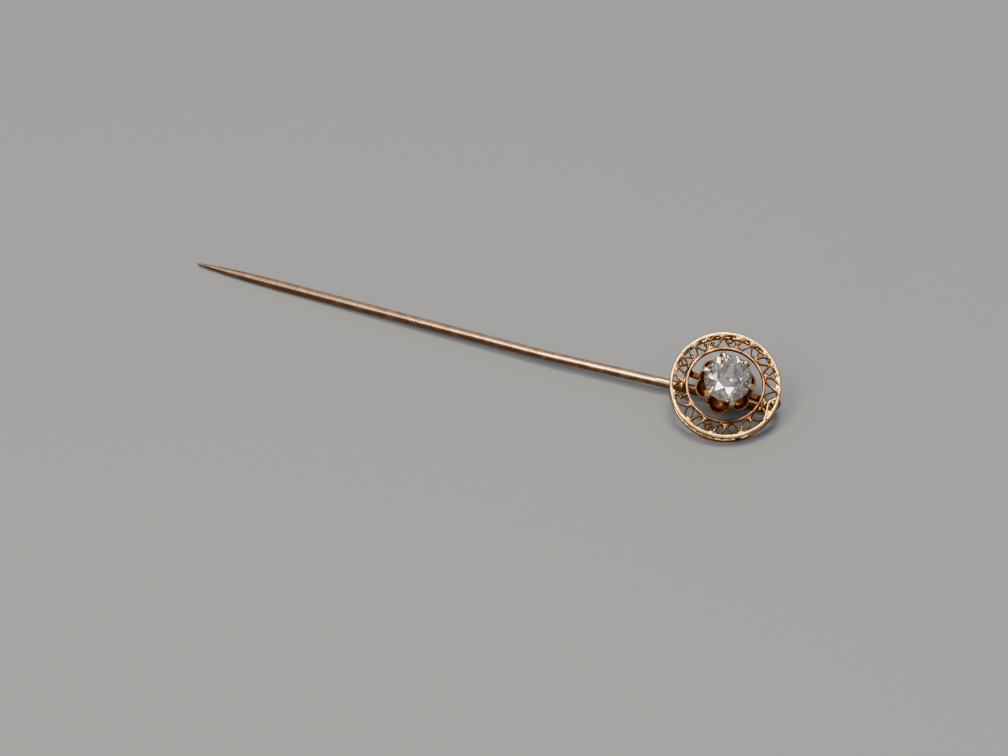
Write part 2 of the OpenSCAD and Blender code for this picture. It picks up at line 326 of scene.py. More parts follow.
def block(name: str, at: Vector, size: Vector) -> bpy.types.Object:
    """Adds a rectangular block.

    Args:
        name: The name of the block.
        at: Its middle.
        size: Its length along each axis.

    Returns:
        The block.
    """
    bpy.ops.object.select_all(action="DESELECT")
    bpy.ops.mesh.primitive_cube_add(size=1, location=at)
    made = bpy.context.object
    made.name = name
    made.scale = size
    bpy.ops.object.transform_apply(location=True, rotation=True, scale=True)
    return made


def around(radius: float, degrees: float, height: float) -> Vector:
    """A point beside the axis Z, at an angle from the neck in degrees."""
    angle = math.radians(degrees)
    return Vector((radius * math.cos(angle), radius * math.sin(angle), height))


# Where the pin lies


def heading(slope: float, swing: float) -> Vector:
    """The direction of a length of the stem."""
    down, side = math.radians(slope), math.radians(swing)
    return Vector(
        (-math.cos(down) * math.cos(side), math.sin(side), -math.sin(down) * math.cos(side))
    )


@dataclass(frozen=True)
class PinSizes:
    """The sizes that more than one sub-assembly needs, in millimetres and degrees."""

    disc_r: float = 5.75
    rim_w: float = 0.4
    rim_h: float = 0.55
    opening_r: float = 3.8
    inner_ring_w: float = 0.3
    inner_ring_h: float = 0.5
    gallery_h: float = 1.6
    rear_wire_r: float = 0.17
    rear_inset: float = 0.04
    bar_w: float = 0.6
    bar_h: float = 0.45
    bar_turn: float = -2.2
    seat_gap: float = 0.04
    solder_sink: float = 0.06
    stem_r: float = 0.525
    tip_r: float = 0.12
    shank_l: float = 30.3
    point_l: float = 10.5
    point_bulge: float = 2.3
    middle_l: float = 12.5
    neck_l: float = 0.85
    neck_bend_r: float = 1.7
    neck_in: float = 0.1
    neck_over: float = 0.1
    neck_turn: float = 3.2
    knee_past_rim: float = 1.2
    under_dir: tuple[float, float] = (4.0, -3.3)
    middle_dir: tuple[float, float] = (10.3, -1.6)
    shank_dir: tuple[float, float] = (12.2, 0.8)

    @property
    def band_out(self) -> float:
        """Radius of the pierced band's outer edge."""
        return self.disc_r - self.rim_w

    @property
    def band_in(self) -> float:
        """Radius of the pierced band's inner edge."""
        return self.opening_r + self.inner_ring_w

    def across_band(self, share: float) -> float:
        """A radius on the pierced band, whose share is 0 at the inner ring and 1 at the rim."""
        return self.band_in + share * (self.band_out - self.band_in)

    @property
    def rear_r(self) -> float:
        """Radius of the rear ring, on the middle of its wire."""
        return self.disc_r - self.rear_inset - self.rear_wire_r

    @property
    def rear_z(self) -> float:
        """Height of the rear ring's middle."""
        return self.rear_wire_r - self.gallery_h

    @property
    def bar_top(self) -> float:
        """Height of the bridge bar's upper face."""
        return self.solder_sink - self.inner_ring_h

    def corners(self) -> list[Vector]:
        """The corners of the stem.

        Returns:
            The neck's top, the sharp corner of its bend, the two slight bends and the tip.
        """
        angle, radius = math.radians(self.neck_turn), self.rear_r - self.neck_in
        x, y = radius * math.cos(angle), radius * math.sin(angle)
        top = self.rear_z + self.rear_wire_r + self.neck_over
        under = heading(*self.under_dir)
        bend = Vector((x, y, top - self.neck_l - self.neck_setback()))
        knee = bend + under * ((x + self.disc_r + self.knee_past_rim) / -under.x)
        elbow = knee + heading(*self.middle_dir) * self.middle_l
        tip = elbow + heading(*self.shank_dir) * (self.shank_l + self.point_l)
        return [Vector((x, y, top)), bend, knee, elbow, tip]

    def flank_r(self, share: float) -> float:
        """The radius of the sharpened point, whose share is 0 at the shank and 1 at the tip."""
        return self.stem_r - (self.stem_r - self.tip_r) * share**self.point_bulge

    def neck_setback(self) -> float:
        """How far the neck's bend starts from its sharp corner."""
        return self.neck_bend_r * math.tan(Vector((0, 0, -1)).angle(heading(*self.under_dir)) / 2)


@dataclass(frozen=True)
class RestPose:
    """How the pin lies: on the flank of its point, the bend of its neck and the rear ring."""

    sizes: PinSizes
    first_guess: tuple[float, float, float] = (-0.16, 0.49, 0.85)
    rounds: int = 12

    def matrix(self) -> Matrix:
        """From the frame of the head, in millimetres, to the floor, in metres.

        Returns:
            The matrix that lays a piece down.
        """
        up = self.settled_up()
        tip = self.sizes.corners()[-1]
        along = (-tip + up * up.dot(tip)).normalized()
        across = up.cross(along)
        ground = up.dot(self.touches(up)[0])
        far_end = max(self.disc_reach(along), self.bend_reach(along))
        middle = (far_end + tip.dot(along) - self.sizes.tip_r) / 2
        return (
            Matrix.Scale(MM, 4)
            @ Matrix.Translation((-middle, 0, -ground))
            @ Matrix((along, across, up)).to_4x4()
        )

    def settled_up(self) -> Vector:
        """The upward direction of the floor, seen from the head."""
        up = Vector(self.first_guess).normalized()
        for _ in range(self.rounds):
            flank, bend, ring = self.touches(up)
            up = (bend - flank).cross(ring - flank).normalized()
            up = -up if up.z < 0 else up
        return up

    def bend(self) -> tuple[Vector, Vector]:
        """The middle of the neck's bend and the normal of its plane."""
        s, down = self.sizes, Vector((0, 0, -1))
        under = heading(*s.under_dir)
        half = down.angle(under) / 2
        middle = s.corners()[1] + (under - down).normalized() * s.neck_bend_r / math.cos(half)
        return middle, down.cross(under).normalized()

    def touches(self, up: Vector) -> tuple[Vector, Vector, Vector]:
        """The points that would touch a floor.

        Args:
            up: The upward direction of that floor.

        Returns:
            The lowest points of the sharpened point, of the neck's bend and of the rear ring.
        """
        s = self.sizes
        # The flank touches where its taper runs level with the ground
        shank = heading(*s.shank_dir)
        slope = max(0.0, -shank.dot(up)) * s.point_l / (s.point_bulge * (s.stem_r - s.tip_r))
        share = min(1.0, slope ** (1 / (s.point_bulge - 1)))
        lowest = s.corners()[-1] - shank * s.point_l * (1 - share) - up * s.flank_r(share)
        middle, normal = self.bend()
        in_plane = (up - normal * up.dot(normal)).normalized()
        outward = Vector((up.x, up.y, 0)).normalized()
        return (
            lowest,
            middle - in_plane * s.neck_bend_r - up * s.stem_r,
            Vector((0, 0, s.rear_z)) - outward * s.rear_r - up * s.rear_wire_r,
        )

    def disc_reach(self, along: Vector) -> float:
        """How far the disc reaches along the pin."""
        return self.sizes.disc_r * math.sqrt(1 - along.z**2)

    def bend_reach(self, along: Vector) -> float:
        """How far the neck's bend reaches along the pin."""
        middle, normal = self.bend()
        side = (along - normal * along.dot(normal)).length
        return middle.dot(along) + side * self.sizes.neck_bend_r + self.sizes.stem_r


# Finishes


def linear(hex_colour: str) -> tuple[float, float, float, float]:
    """Turns an sRGB colour to Blender's linear one."""
    channels = [int(hex_colour[i : i + 2], 16) / 255 for i in (1, 3, 5)]
    return (
        *(c / 12.92 if c <= 0.04045 else ((c + 0.055) / 1.055) ** 2.4 for c in channels),
        1.0,
    )


def add_node(
    material: bpy.types.Material,
    kind: str,
    settings: dict[str, object] | None = None,
    inputs: dict[str | int, object] | None = None,
) -> bpy.types.Node:
    """Adds a node to a material with its settings and links.

    Args:
        material: The material.
        kind: The node's type, without the word ShaderNode.
        settings: The values of its properties.
        inputs: For each input, its value or the output that it is linked to.

    Returns:
        The node.
    """
    node = material.node_tree.nodes.new("ShaderNode" + kind)
    for key, value in (settings or {}).items():
        setattr(node, key, value)
    for key, value in (inputs or {}).items():
        if isinstance(value, bpy.types.NodeSocket):
            material.node_tree.links.new(value, node.inputs[key])
        else:
            node.inputs[key].default_value = value
    return node


def new_material(name: str) -> tuple[bpy.types.Material, bpy.types.Node]:
    """Makes an empty material with a shader and an output."""
    material = bpy.data.materials.new(name)
    material.use_nodes = True
    material.node_tree.nodes.clear()
    shader = add_node(material, "BsdfPrincipled")
    add_node(material, "OutputMaterial", inputs={"Surface": shader.outputs["BSDF"]})
    return material, shader


def ramp(
    material: bpy.types.Material,
    value: bpy.types.NodeSocket,
    limits: tuple[float, float],
    ends: tuple[float, float] = (0.0, 1.0),
) -> bpy.types.NodeSocket:
    """Maps a value between two limits to a value between two ends.

    Args:
        material: The material.
        value: The value.
        limits: The values that give the first and the second end.
        ends: What they give.

    Returns:
        The mapped value.
    """
    return add_node(
        material,
        "MapRange",
        inputs={
            "Value": value,
            "From Min": limits[0],
            "From Max": limits[1],
            "To Min": ends[0],
            "To Max": ends[1],
        },
    ).outputs[0]


def mixed(
    material: bpy.types.Material, share: bpy.types.NodeSocket, first: object, second: object
) -> bpy.types.NodeSocket:
    """A colour between two colours, by the share of the second."""
    inputs = {0: share, 6: first, 7: second}
    return add_node(material, "Mix", {"data_type": "RGBA"}, inputs).outputs[2]


def combined(
    material: bpy.types.Material, operation: str, first: bpy.types.NodeSocket, second: object
) -> bpy.types.NodeSocket:
    """Two shares put together by a sum, a product or the larger, kept between 0 and 1."""
    settings = {"operation": operation, "use_clamp": True}
    return add_node(material, "Math", settings, {0: first, 1: second}).outputs[0]


@dataclass(frozen=True)
class GoldFinish:
    """Gold alloy, polished by hand and worn for a century.

    The colour is pale peach metal, painted with shade: dark brown in corners and between parts,
    on the side turned from the light and in the disc's shadow; with faint cloudy patches of
    tarnish and very fine scratches.
    """

    name: str
    metal: str
    warm: str
    # The dark brown of the painted shade, which is also the colour of the cloudy tarnish
    shade_and_tarnish: str
    polish: float
    dull: float
    # How far and how strongly ambient occlusion paints shade into corners and between parts
    corner_shade_mm: float
    corner_shade_share: float
    # The side that stays lit, the limits across which the rest turns to painted shade, and its
    # strength
    lit_side: LitSide
    lit_above: float
    shaded_below: float
    painted_shade_share: float
    patch_mm: float
    patch_share: float
    scratch_mm: float
    scratch_depth: float
    # From here towards the neck, in millimetres, the stem lies in the disc's shadow, which is
    # painted on it
    disc_shadow_past: float = 99.0
    # The noise that gives cloudy patches, and the occlusion range over which corners are painted
    # with shade
    cloud_limits: tuple[float, float] = (0.35, 0.7)
    occlusion_limits: tuple[float, float] = (0.25, 0.95)

    def make(self, laid: Matrix) -> bpy.types.Material:
        """Makes the material.

        Args:
            laid: The matrix that lays the head down, which the pattern follows.

        Returns:
            The material.
        """
        material, shader = new_material(self.name)
        point = self.head_point(material, laid)
        patches = self.patches(material, point)
        # How far the base colour is painted with shade, plus cloudy tarnish
        shade_and_tarnish_share = self.shade_and_tarnish_share(material, patches, point)
        metal = mixed(material, patches, linear(self.metal), linear(self.warm))
        wired = {
            "Base Color": mixed(material, shade_and_tarnish_share, metal, linear(self.shade_and_tarnish)),
            "Roughness": ramp(material, shade_and_tarnish_share, (0.0, 1.0), (self.polish, self.dull)),
            "Normal": self.scratches(material, point),
        }
        for name, output in wired.items():
            material.node_tree.links.new(output, shader.inputs[name])
        shader.inputs["Metallic"].default_value = 1.0
        return material

    def head_point(self, material: bpy.types.Material, laid: Matrix) -> bpy.types.NodeSocket:
        """The surface point in millimetres in the frame of the head."""
        back = laid.inverted()
        return add_node(
            material,
            "Mapping",
            inputs={
                "Vector": add_node(material, "TexCoord").outputs["Object"],
                "Location": back.to_translation(),
                "Rotation": back.to_euler(),
                "Scale": (1 / MM, 1 / MM, 1 / MM),
            },
        ).outputs[0]

    def patches(
        self, material: bpy.types.Material, point: bpy.types.NodeSocket
    ) -> bpy.types.NodeSocket:
        """Cloudy patches from 0 to 1."""
        clouds = add_node(
            material,
            "TexNoise",
            inputs={"Vector": point, "Scale": 1 / self.patch_mm, "Detail": 3.0},
        ).outputs["Fac"]
        return ramp(material, clouds, self.cloud_limits)

    def lit_axis(
        self, material: bpy.types.Material, point: bpy.types.NodeSocket
    ) -> bpy.types.NodeSocket:
        """The height in front of the disc in millimetres, or how far the surface faces up."""
        # The painted shade falls off with height in front of the disc, and for a top-lit finish
        # with how far the surface faces up
        if self.lit_side is LitSide.TOP:
            point = add_node(material, "TexCoord").outputs["Normal"]
        return add_node(material, "SeparateXYZ", inputs={0: point}).outputs["Z"]

    def shade_and_tarnish_share(
        self,
        material: bpy.types.Material,
        patches: bpy.types.NodeSocket,
        point: bpy.types.NodeSocket,
    ) -> bpy.types.NodeSocket:
        """How far the colour is painted with shade, in corners, on the unlit side and in the
        disc's shadow, plus tarnish in cloudy patches.
        """
        occlusion = add_node(
            material, "AmbientOcclusion", {"samples": 4}, {"Distance": self.corner_shade_mm * MM}
        ).outputs["AO"]
        height = self.lit_axis(material, point)
        across = add_node(material, "SeparateXYZ", inputs={0: point}).outputs["X"]
        lit_limits = (self.lit_above, self.shaded_below)
        disc_shadow_limits = (self.disc_shadow_past, self.disc_shadow_past + 1.0)
        # Painted shade in corners and between parts, from ambient occlusion
        painted_shade = ramp(material, occlusion, self.occlusion_limits, (self.corner_shade_share, 0.0))
        # Painted shade on the unlit side, and the disc's painted shadow on the stem
        for place, limits in ((height, lit_limits), (across, disc_shadow_limits)):
            share = ramp(material, place, limits, (0.0, self.painted_shade_share))
            painted_shade = combined(material, "MAXIMUM", painted_shade, share)
        cloudy = combined(material, "MULTIPLY", patches, self.patch_share)
        return combined(material, "ADD", painted_shade, cloudy)

    def scratches(
        self, material: bpy.types.Material, point: bpy.types.NodeSocket
    ) -> bpy.types.NodeSocket:
        """The normal, with very fine polishing scratches across the pin."""
        # Real polishing lines are a few hundredths of a millimetre apart, too fine to show
        stretched = add_node(
            material, "Mapping", inputs={"Vector": point, "Scale": (1.0, 0.25, 1.0)}
        ).outputs[0]
        lines = add_node(
            material,
            "TexNoise",
            inputs={"Vector": stretched, "Scale": 1 / self.scratch_mm, "Detail": 2.0},
        ).outputs["Fac"]
        return add_node(
            material,
            "Bump",
            inputs={"Strength": 0.35, "Distance": self.scratch_depth * MM, "Height": lines},
        ).outputs[0]


@dataclass(frozen=True)
class CutStoneFinish:
    """Diamond, cut and polished by hand: clear, with hard edges and a fierce sparkle."""

    name: str = "old_cut_diamond"
    tint: str = "#b2a497"
    refraction: float = 2.417

    def make(self) -> bpy.types.Material:
        """Makes the material."""
        material, shader = new_material(self.name)
        shader.inputs["Base Color"].default_value = linear(self.tint)
        shader.inputs["Roughness"].default_value = 0.0
        shader.inputs["IOR"].default_value = self.refraction
        shader.inputs["Transmission Weight"].default_value = 1.0
        return material


@dataclass(frozen=True)
class FloorFinish:
    """Smooth matt card, pale grey, with hardly any tone of its own."""

    name: str = "pale_card"
    tone: str = "#919499"
    roughness: float = 0.55

    def make(self) -> bpy.types.Material:
        """Makes the material."""
        material, shader = new_material(self.name)
        shader.inputs["Base Color"].default_value = linear(self.tone)
        shader.inputs["Roughness"].default_value = self.roughness
        return material


# The rim's gold: its walls below the face, its corners and the gaps between parts are painted with
# shade
RIM_GOLD = GoldFinish(
    name="rose_gold_worn_and_shaded",
    metal="#f6d08c",
    warm="#e6ae72",
    shade_and_tarnish="#5e3214",
    polish=0.14,
    dull=0.4,
    corner_shade_mm=0.4,
    corner_shade_share=0.9,
    lit_side=LitSide.FRONT,
    lit_above=-0.07,
    shaded_below=-0.22,
    painted_shade_share=0.92,
    patch_mm=1.1,
    patch_share=0.4,
    scratch_mm=0.16,
    scratch_depth=0.012,
)
# The rim's rose gold with a darker metal and heavy dark cloudy patches: painted shade on a ring
# whose highlight faces away
INNER_RING_GOLD = replace(
    RIM_GOLD,
    name="rose_gold_inner_ring",
    metal="#ca966c",
    warm="#9a6844",
    dull=0.45,
    lit_above=-0.04,
    patch_mm=1.4,
    patch_share=0.85,
)
# The same rose gold with a darker metal colour: painted shade on the threads, whose sides below
# the face are painted dark too
BAND_GOLD = replace(
    RIM_GOLD,
    name="rose_gold_pierced",
    metal="#e4b078",
    warm="#ba7c48",
    shade_and_tarnish="#5e381c",
    dull=0.48,
    corner_shade_mm=0.6,
    lit_above=0.03,
    shaded_below=-0.1,
    patch_mm=0.6,
    patch_share=0.3,
)
# Lit where the surface faces up; the ring's and posts' undersides are painted with shade
GALLERY_GOLD = replace(
    RIM_GOLD,
    name="rose_gold_gallery",
    metal="#e6b584",
    lit_side=LitSide.TOP,
    lit_above=0.7,
    shaded_below=0.2,
)
# Lit where the wire faces up; its lower half is painted dark brown as shade, and past the disc's
# edge it carries the disc's painted shadow
STEM_GOLD = replace(
    RIM_GOLD,
    name="drawn_gold_wire",
    metal="#f0c496",
    warm="#d8a684",
    shade_and_tarnish="#684a32",
    polish=0.14,
    dull=0.36,
    corner_shade_mm=0.3,
    corner_shade_share=0.4,
    disc_shadow_past=-5.9,
    lit_side=LitSide.TOP,
    lit_above=0.62,
    shaded_below=0.44,
    painted_shade_share=0.88,
    patch_mm=1.1,
    patch_share=0.25,
    scratch_mm=0.2,
    scratch_depth=0.03,
)
# The darkest shade colour of all: painted shade on the bar behind the disc
BRIDGE_GOLD = replace(BAND_GOLD, name="rose_gold_bridge", shade_and_tarnish="#3e200e", dull=0.3)
# Its pale metal colour is partly a painted highlight on the claws' tips; below them, from 3.3 mm
# down to 0.6 mm in front of the disc, the cup and claws turn to painted shade
SETTING_GOLD = replace(
    RIM_GOLD,
    name="yellow_gold_cast",
    metal="#fae0b4",
    warm="#ecc488",
    shade_and_tarnish="#86562c",
    polish=0.13,
    dull=0.3,
    corner_shade_mm=0.8,
    corner_shade_share=0.85,
    lit_above=3.3,
    shaded_below=0.6,
    painted_shade_share=0.93,
    patch_mm=0.7,
    scratch_mm=0.14,
    scratch_depth=0.008,
)


# The sub-assemblies


@dataclass(kw_only=True)
class SubAssembly(ABC):
    """A part of the pin that is built and dressed by itself."""

    sizes: PinSizes
    gold: GoldFinish
    node: str = "pin_and_disc"
    slot: Slot = Slot.ROSE_GOLD

    @abstractmethod
    def build(self) -> bpy.types.Object:
        """Models the piece in the frame of the head."""

    def make(self, laid: Matrix) -> None:
        """Builds, lays down and dresses the piece in the place of its CAD node.

        Args:
            laid: The matrix that lays the head down.
        """
        piece = self.build()
        piece.matrix_world = laid
        take(piece)
        bpy.ops.object.transform_apply(location=True, rotation=True, scale=True)
        piece.data.materials.clear()
        piece.data.materials.append(self.gold.make(laid))
        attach(piece, BODY)
        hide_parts(self.node)
        LOG.info("%s: %d faces", piece.name, len(piece.data.polygons))


@dataclass(kw_only=True)
class Stem(SubAssembly):
    """The round wire that bends out of the gallery and runs to a long sharpened point."""

    gold: GoldFinish = STEM_GOLD
    knee_r: float = 9.0
    elbow_r: float = 20.0
    ring_step: float = 0.3
    neck_dome: float = 0.35
    sides: int = 40

    def build(self) -> bpy.types.Object:
        """Draws the wire and leaves the marks of the hammer on it."""
        line = self.rounded_line()
        radii = [self.radius_at((at - line[0]).length, (at - line[-1]).length) for at in line]
        stem = wire("stem", line, radii, self.sides)
        roughen(stem, depth=0.02, spread=1.4)
        shade_soft(stem, 40)
        return stem

    def radius_at(self, from_neck: float, from_tip: float) -> float:
        """The radius of the wire."""
        s = self.sizes
        if from_neck < self.neck_dome:
            return s.stem_r * math.sqrt(1 - 0.9 * (1 - from_neck / self.neck_dome) ** 2)
        if from_tip < s.tip_r:
            return max(0.02, math.sqrt(s.tip_r**2 - (s.tip_r - from_tip) ** 2))
        return s.flank_r(1 - min(1.0, (from_tip - s.tip_r) / s.point_l))

    def rounded_line(self) -> list[Vector]:
        """The middle of the wire, with its corners rounded."""
        corners = self.sizes.corners()
        radii = (self.sizes.neck_bend_r, self.knee_r, self.elbow_r)
        line = [corners[0]]
        for i, radius in enumerate(radii, start=1):
            line += self.bend(corners[i - 1], corners[i], corners[i + 1], radius)
        last = (corners[-1] - corners[-2]).normalized()
        line.append(corners[-1] + last * self.sizes.tip_r)
        return self.evenly(line)

    def bend(self, before: Vector, corner: Vector, after: Vector, radius: float) -> list[Vector]:
        """The points of a rounded corner.

        Args:
            before: The corner before.
            corner: The sharp corner.
            after: The corner after.
            radius: The radius of the bend.

        Returns:
            The points along the arc.
        """
        into, out = (corner - before).normalized(), (after - corner).normalized()
        angle = into.angle(out)
        start = corner - into * radius * math.tan(angle / 2)
        inward = (out - into * out.dot(into)).normalized()
        steps = max(3, math.ceil(angle * radius / self.ring_step * 2))
        return [
            start
            + into * radius * math.sin(angle * i / steps)
            + inward * radius * (1 - math.cos(angle * i / steps))
            for i in range(steps + 1)
        ]

    def evenly(self, line: Sequence[Vector]) -> list[Vector]:
        """Adds points where a line's points are far apart, closer near its end.

        Args:
            line: The points of the line.

        Returns:
            The line with points between.
        """
        full: list[Vector] = [line[0]]
        for start, end in zip(line, line[1:]):
            steps = max(1, round((end - start).length / self.ring_step))
            full += [start.lerp(end, i / steps) for i in range(1, steps + 1)]
        away = (full[1] - full[0]).normalized()
        full[1:1] = [full[0] + away * self.neck_dome * share for share in (0.1, 0.3, 0.6)]
        end, before = full[-1], full[-2]
        inward = (before - end).normalized()
        tip_points = [end + inward * self.sizes.tip_r * share for share in (1.0, 0.6, 0.3, 0.1)]
        return full[:-1] + tip_points + [end]


@dataclass(kw_only=True)
class FrontRing(SubAssembly):
    """A turned ring of the disc's front: the bright rim, or the ring round the opening."""

    name: str
    inner: float
    outer: float
    depth: float
    rounding: float
    # Solder that has run in from the rim: angle, half its length in degrees and its reach
    drops: tuple[tuple[float, float, float], ...] = ()
    # Angles of the nicks across the face, and the size of the file that cut them
    nicks: tuple[float, ...] = ()
    nick_size: tuple[float, float, float] = (1.0, 0.16, 0.26)
    segments: int = 288
    grain: float = 0.04

    def build(self) -> bpy.types.Object:
        """Turns the ring, rubs its edges and solders it."""
        ring = self.turned()
        for angle in self.nicks:
            carve(ring, self.nick(angle))
        if self.drops:
            drops = [self.drop(*drop) for drop in self.drops]
            ring = fuse(self.name, [ring, *drops], self.grain, 3)
        roughen(ring, depth=0.025, spread=0.9)
        shade_soft(ring, 50)
        return ring

    def turned(self) -> bpy.types.Object:
        """Makes the plain ring, with its edges rounded."""
        bpy.ops.object.select_all(action="DESELECT")
        bpy.ops.mesh.primitive_circle_add(vertices=self.segments, radius=self.outer)
        made = bpy.context.object
        made.name = self.name
        share = self.inner / self.outer
        with editing(made):
            bpy.ops.mesh.select_all(action="SELECT")
            bpy.ops.mesh.extrude_region_move()
            bpy.ops.transform.resize(value=(share, share, 1), center_override=(0, 0, 0))
            bpy.ops.mesh.select_all(action="SELECT")
            bpy.ops.mesh.extrude_region_move(TRANSFORM_OT_translate={"value": (0, 0, -self.depth)})
            bpy.ops.mesh.select_all(action="SELECT")
            bpy.ops.mesh.normals_make_consistent(inside=False)
        edges = made.modifiers.new("edges", "BEVEL")
        edges.width = self.rounding
        edges.segments = 5
        edges.limit_method = "ANGLE"
        edges.angle_limit = math.radians(50)
        apply_modifiers(made)
        return made

    def drop(self, angle: float, half: float, reach: float) -> bpy.types.Object:
        """Makes a low drop of solder along the inner edge, nearly flush with the face.

        Args:
            angle: The angle of its middle, in degrees.
            half: Half its length, in degrees.
            reach: How far it reaches in from the ring.

        Returns:
            The drop.
        """
        steps, low, thin = 10, 0.13, 0.02
        line, radii = [], []
        for i in range(steps + 1):
            line.append(around(self.inner, angle - half + 2 * half * i / steps, -low))
            radii.append(thin + reach * math.sin(math.pi * i / steps))
        made = wire("drop", line, radii, 12)
        resize(made, (1, 1, low / (reach + thin)), (0, 0, -low))
        return made

    def nick(self, angle: float) -> bpy.types.Object:
        """Makes the cutter of a nick across the face, at an angle in degrees."""
        middle = (self.inner + self.outer) / 2
        cutter = block("nick", Vector((middle, 0, 0)), Vector(self.nick_size))
        turn(cutter, angle)
        return cutter


RIM_SOLDER = (
    (15, 7, 0.34),
    (25, 5, 0.24),
    (42, 5, 0.28),
    (58, 4, 0.18),
    (75, 6, 0.28),
    (90, 7, 0.3),
    (111, 6, 0.24),
    (128, 4, 0.16),
    (144, 7, 0.28),
    (163, 4, 0.18),
    (181, 9, 0.34),
    (207, 5, 0.24),
    (243, 6, 0.28),
    (272, 5, 0.22),
    (305, 7, 0.28),
    (343, 7, 0.34),
)
RIM_NICKS = (7.0, 29.0, 336.0)


@dataclass(frozen=True)
class Leaf:
    """One pair of leaves: where it leaves the rim and where it meets the inner ring."""

    rim_angle: float
    ring_angle: float
    has_curl: bool = False
    girth: float = 1.0


